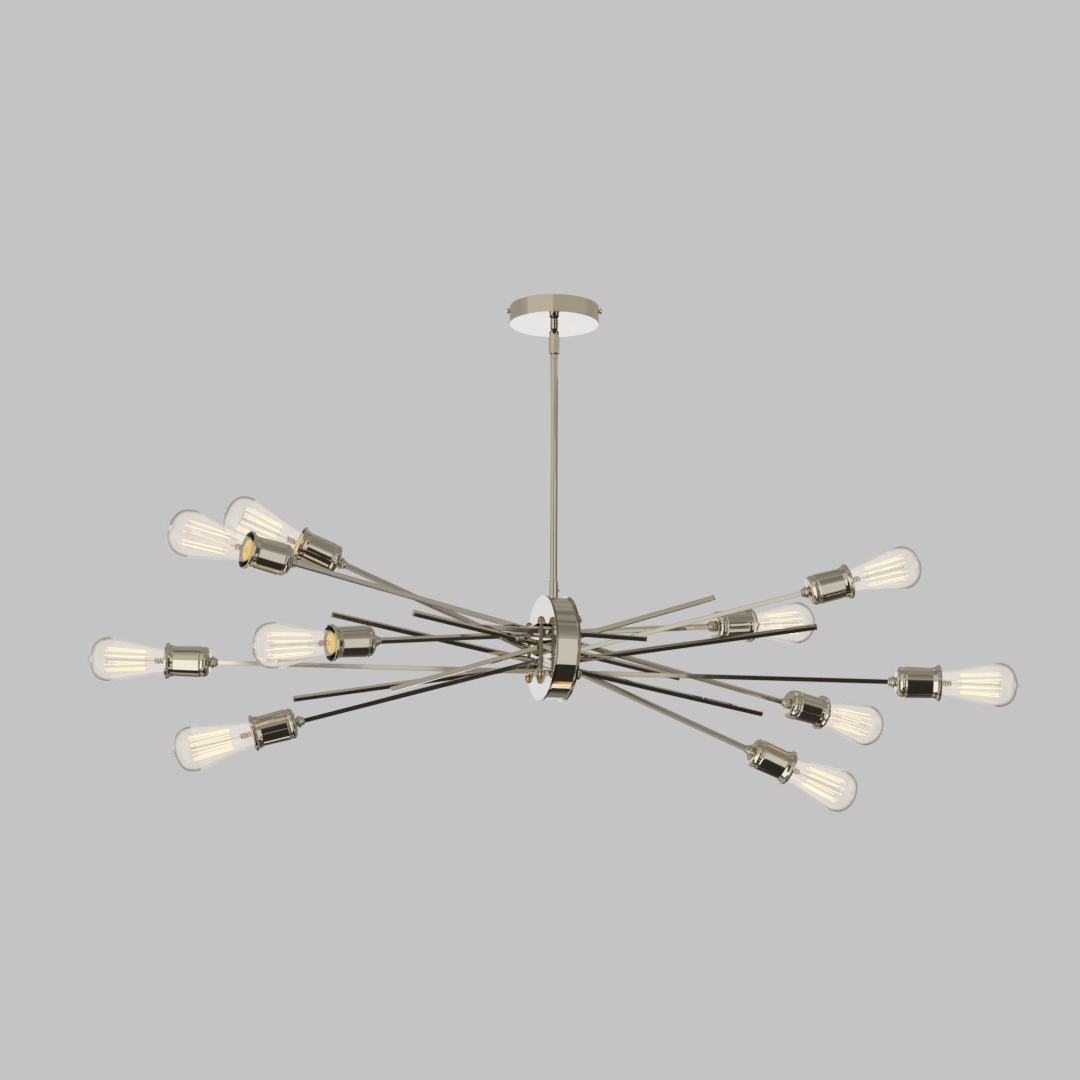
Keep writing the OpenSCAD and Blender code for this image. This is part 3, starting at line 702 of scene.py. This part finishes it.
w_half = world_range(w_split.outputs["Z"], -1, 1)
FRONT = [
    (-1.0, (0.035, 0.032, 0.029)), (0.05, (0.045, 0.04, 0.036)), (0.2, (0.2, 0.19, 0.165)),
    (0.27, (0.55, 0.53, 0.47)), (0.32, (0.55, 0.53, 0.47)), (0.4, (0.37, 0.355, 0.32)),
    (1.0, (0.34, 0.325, 0.295)),
]
BACK = [
    (-0.9, (0.04, 0.037, 0.034)), (-0.6, (0.12, 0.11, 0.1)), (-0.42, (0.5, 0.49, 0.47)),
    (-0.1, (0.6, 0.59, 0.57)), (0.0, (0.93, 0.94, 0.96)), (0.25, (0.93, 0.94, 0.96)),
    (0.29, (0.46, 0.44, 0.39)), (1.0, (0.4, 0.38, 0.35)),
]
w_front, w_back = height_ramp(FRONT), height_ramp(BACK)
w_side = wn.new("ShaderNodeVectorMath")
w_side.operation = "DOT_PRODUCT"
w_side.inputs[1].default_value = (0.29, 0.957, 0)
wl.new(w_place.outputs["Generated"], w_side.inputs[0])
w_edge = world_range(w_side.outputs["Value"], -0.1, 0.15)
w_base = wn.new("ShaderNodeMix")
w_base.data_type = "RGBA"
wl.new(w_edge, w_base.inputs["Factor"])
wl.new(w_front.outputs["Color"], w_base.inputs["A"])
wl.new(w_back.outputs["Color"], w_base.inputs["B"])
w_radians = world_math("ARCTAN2", w_split.outputs["Y"], w_split.outputs["X"])
w_round = world_math("DEGREES", w_radians)
# The tall left window leans outwards towards its foot
w_leaning = world_math("ADD", w_round, world_range(w_split.outputs["Z"], -0.93, -0.72, 26, 0))
# [compass from, to, height from, to in degrees, brightness, leans] of windows and walls
PANES = [
    (-180, -115.5, -70, 2, (1.4, 1.4, 1.4), True),
    (-115.5, -110.5, -70, -58, (1.4, 1.4, 1.4), True),
    (-115.5, -106, -14, 2, (0.42, 0.4, 0.36), False),
    (-106, -104, -10, -6, (0.8, 0.79, 0.77), False),
    (-112.5, -110.5, -12, 2, (0.85, 0.84, 0.8), False),
    (-180, -110, 2, 52, (0.74, 0.72, 0.65), False),
    (-145, -126, -73, -69.5, (1.4, 0.9, 0.25), False),
    (-87, -60, -11.5, 14, (0.88, 0.88, 0.87), False),
    (-75.5, -60, -41, -11, (0.88, 0.88, 0.87), False),
    (-93, -88.8, -31.5, -28.5, (0.6, 0.6, 0.58), False),
    (-62, -44, -40, 13, (0.88, 0.88, 0.87), False),
    (-62, -49, -45, -40, (0.5, 0.5, 0.48), False),
    (-37, -18, -40, -22, (0.8, 0.8, 0.78), False),
    (-16, -10, -52, -47.5, (0.8, 0.8, 0.78), False),
    (-47, -40.5, -43.5, -40.3, (0.33, 0.3, 0.25), False),
    (-7, 12, -72.9, -71.6, (1.3, 0.6, 0.1), False),
    (14, 36, -72.3, -69, (1.4, 1.35, 1.3), False),
    (36, 46, -69.5, -65, (1.4, 1.35, 1.3), False),
    (60, 82, -77, -60, (1.4, 0.9, 0.25), False),
    (60, 76, -52, -36, (0.3, 0.29, 0.28), False),
    (57.5, 65, -50, -10, (0.14, 0.13, 0.12), False),
    (89, 150, -72, -50, (0.48, 0.46, 0.42), False),
    (98, 150, -50, -22, (0.48, 0.46, 0.42), False),
    (66, 80, -21, -13, (1.15, 1.2, 1.33), False),
    (-20, 60, -25, 15.5, (0.3, 0.29, 0.26), False),
    (-117, -108, 42, 52, (1.4, 0.95, 0.35), False),
    (-8, 20, 46.5, 49.5, (1.1, 0.6, 0.25), False),
]


def inside(value, low, high):
    """1 where the value lies between low and high."""
    made = wn.new("ShaderNodeMath")
    made.operation = "COMPARE"
    made.inputs[1].default_value = (low + high) / 2
    made.inputs[2].default_value = (high - low) / 2
    wl.new(value, made.inputs[0])
    return made.outputs["Value"]


room = w_base.outputs["Result"]
for left, right, low, high, colour, leans in PANES:
    heights = [math.sin(math.radians(v)) for v in (low, high)]
    across = inside(w_leaning if leans else w_round, left, right)
    both = world_math("MULTIPLY", across, inside(w_split.outputs["Z"], *heights))
    pane = wn.new("ShaderNodeMix")
    pane.data_type = "RGBA"
    pane.inputs["B"].default_value = (*colour, 1)
    wl.new(both, pane.inputs["Factor"])
    wl.new(room, pane.inputs["A"])
    room = pane.outputs["Result"]
# Wavy grain on the upper walls and ceiling, seen faintly in everything that shines
w_noise = wn.new("ShaderNodeTexNoise")
w_noise.inputs["Scale"].default_value = 1.7
w_noise.inputs["Detail"].default_value = 1.0
wl.new(w_place.outputs["Generated"], w_noise.inputs["Vector"])
w_rings = wn.new("ShaderNodeMath")
w_rings.operation = "MULTIPLY"
w_rings.inputs[1].default_value = 34.0
wl.new(w_noise.outputs["Fac"], w_rings.inputs[0])
w_tone = world_range(world_math("SINE", w_rings.outputs["Value"]), -1, 1, 0.5, 1.22)
w_above = world_range(w_split.outputs["Z"], 0.35, 0.95)
w_some = wn.new("ShaderNodeMix")
w_some.inputs["A"].default_value = 1.0
wl.new(w_above, w_some.inputs["Factor"])
wl.new(w_tone, w_some.inputs["B"])
w_shade = wn.new("ShaderNodeVectorMath")
w_shade.operation = "SCALE"
wl.new(room, w_shade.inputs["Vector"])
wl.new(w_some.outputs["Result"], w_shade.inputs["Scale"])
wl.new(w_shade.outputs["Vector"], w_light.inputs["Color"])
w_path = wn.new("ShaderNodeLightPath")
w_any = world_math(
    "MAXIMUM", w_path.outputs["Is Camera Ray"], w_path.outputs["Is Transmission Ray"]
)
w_mix = wn.new("ShaderNodeMixShader")
wl.new(w_any, w_mix.inputs["Fac"])
wl.new(w_light.outputs["Background"], w_mix.inputs[1])
wl.new(w_see.outputs["Background"], w_mix.inputs[2])
wl.new(w_mix.outputs["Shader"], w_out.inputs["Surface"])

for name, where, size, power in (
    ("key", (-3.2, -2.6, 0.6), (0.7, 1.8), 7),
    ("fill", (3.4, -1.6, 0.3), (0.6, 1.8), 6),
):
    data = bpy.data.lights.new(name, "AREA")
    data.shape = "RECTANGLE"
    data.size, data.size_y = size
    data.energy = power
    lamp = bpy.data.objects.new(name, data)
    lamp.location = where
    look = Vector((0, 0, -0.45)) - Vector(where)
    lamp.rotation_euler = look.to_track_quat("-Z", "Y").to_euler()
    lamp.visible_glossy = False
    scene.collection.objects.link(lamp)

bm = bmesh.new()
bmesh.ops.create_grid(bm, x_segments=1, y_segments=1, size=12)
bmesh.ops.translate(bm, vec=(0, 0, -1.9), verts=bm.verts[:])
floor_mesh = bpy.data.meshes.new("floor")
bm.to_mesh(floor_mesh)
bm.free()
floor = bpy.data.objects.new("floor", floor_mesh)
scene.collection.objects.link(floor)
floor_mat = bpy.data.materials.new("floor")
floor_mat.use_nodes = True
floor_mat.node_tree.nodes["Principled BSDF"].inputs["Base Color"].default_value = (0.85, 0.84, 0.83, 1)
floor_mesh.materials.append(floor_mat)
floor.visible_glossy = False
